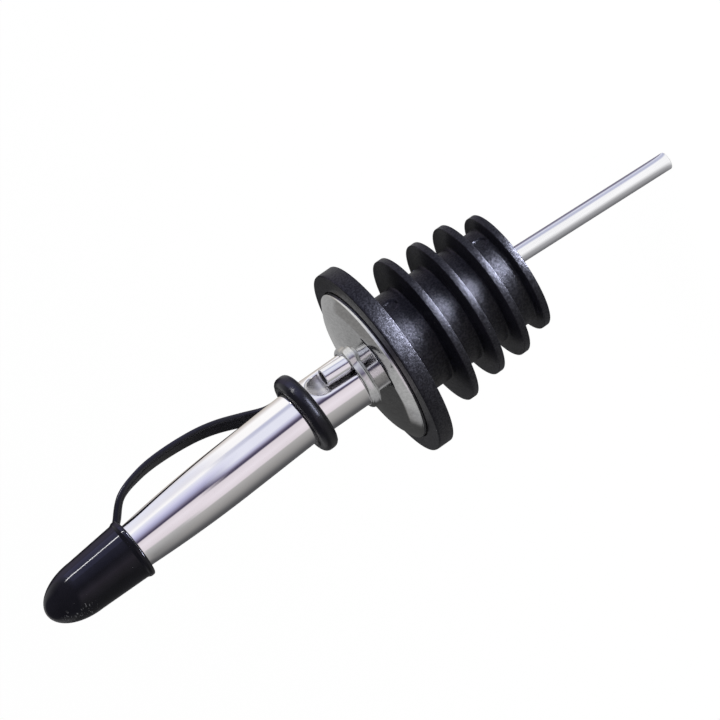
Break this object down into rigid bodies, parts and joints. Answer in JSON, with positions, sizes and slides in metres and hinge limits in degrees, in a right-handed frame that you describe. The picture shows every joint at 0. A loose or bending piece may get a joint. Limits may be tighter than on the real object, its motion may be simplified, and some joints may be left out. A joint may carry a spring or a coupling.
{
  "type": "liquor pourer",
  "caption": "Bottle pourer: tapered steel spout with a vent tube, conical collar plate, finned rubber cork with a flange, and a soft dust cap on a strap and ring.",
  "frame": {"origin": "centre of the flange's underside, which sits on the lip of the bottle", "axes": "+Z along the cork towards the spout, the spout leans to -X, and the vent's stub lies on the other side of it, 30 degrees from +X towards -Y"},
  "size_m": [0.0324, 0.0324, 0.1194],
  "materials": {
    "polished_steel": "polished stainless steel",
    "plate_steel": "polished pressed plate",
    "vent_steel": "drawn bright tube",
    "solder": "dull solder",
    "cork_rubber": "matte grainy rubber",
    "soft_black": "glossy soft moulding"
  },
  "bodies": {
    "pourer": {"spout_tube": "polished_steel", "vent_tube": "vent_steel", "vent_seal": "solder", "collar_plate": "plate_steel", "stem_tube": "vent_steel", "cork_stopper": "cork_rubber"},
    "tether": {"tether_ring": "soft_black", "cap_strap": "soft_black"},
    "cap": {"dust_cap": "soft_black"}
  },
  "joints": [
    {"name": "tether_turn", "type": "hinge", "parent": "pourer", "child": "tether", "pos_m": [0, 0, 0.0158], "axis": [-0.0576, 0, 0.9983], "continuous": true},
    {"name": "cap_pull", "type": "slide", "parent": "tether", "child": "cap", "axis": [-0.0576, 0, 0.9983], "range_m": [0, 0.016], "deforming": ["cap_strap"]}
  ]
}
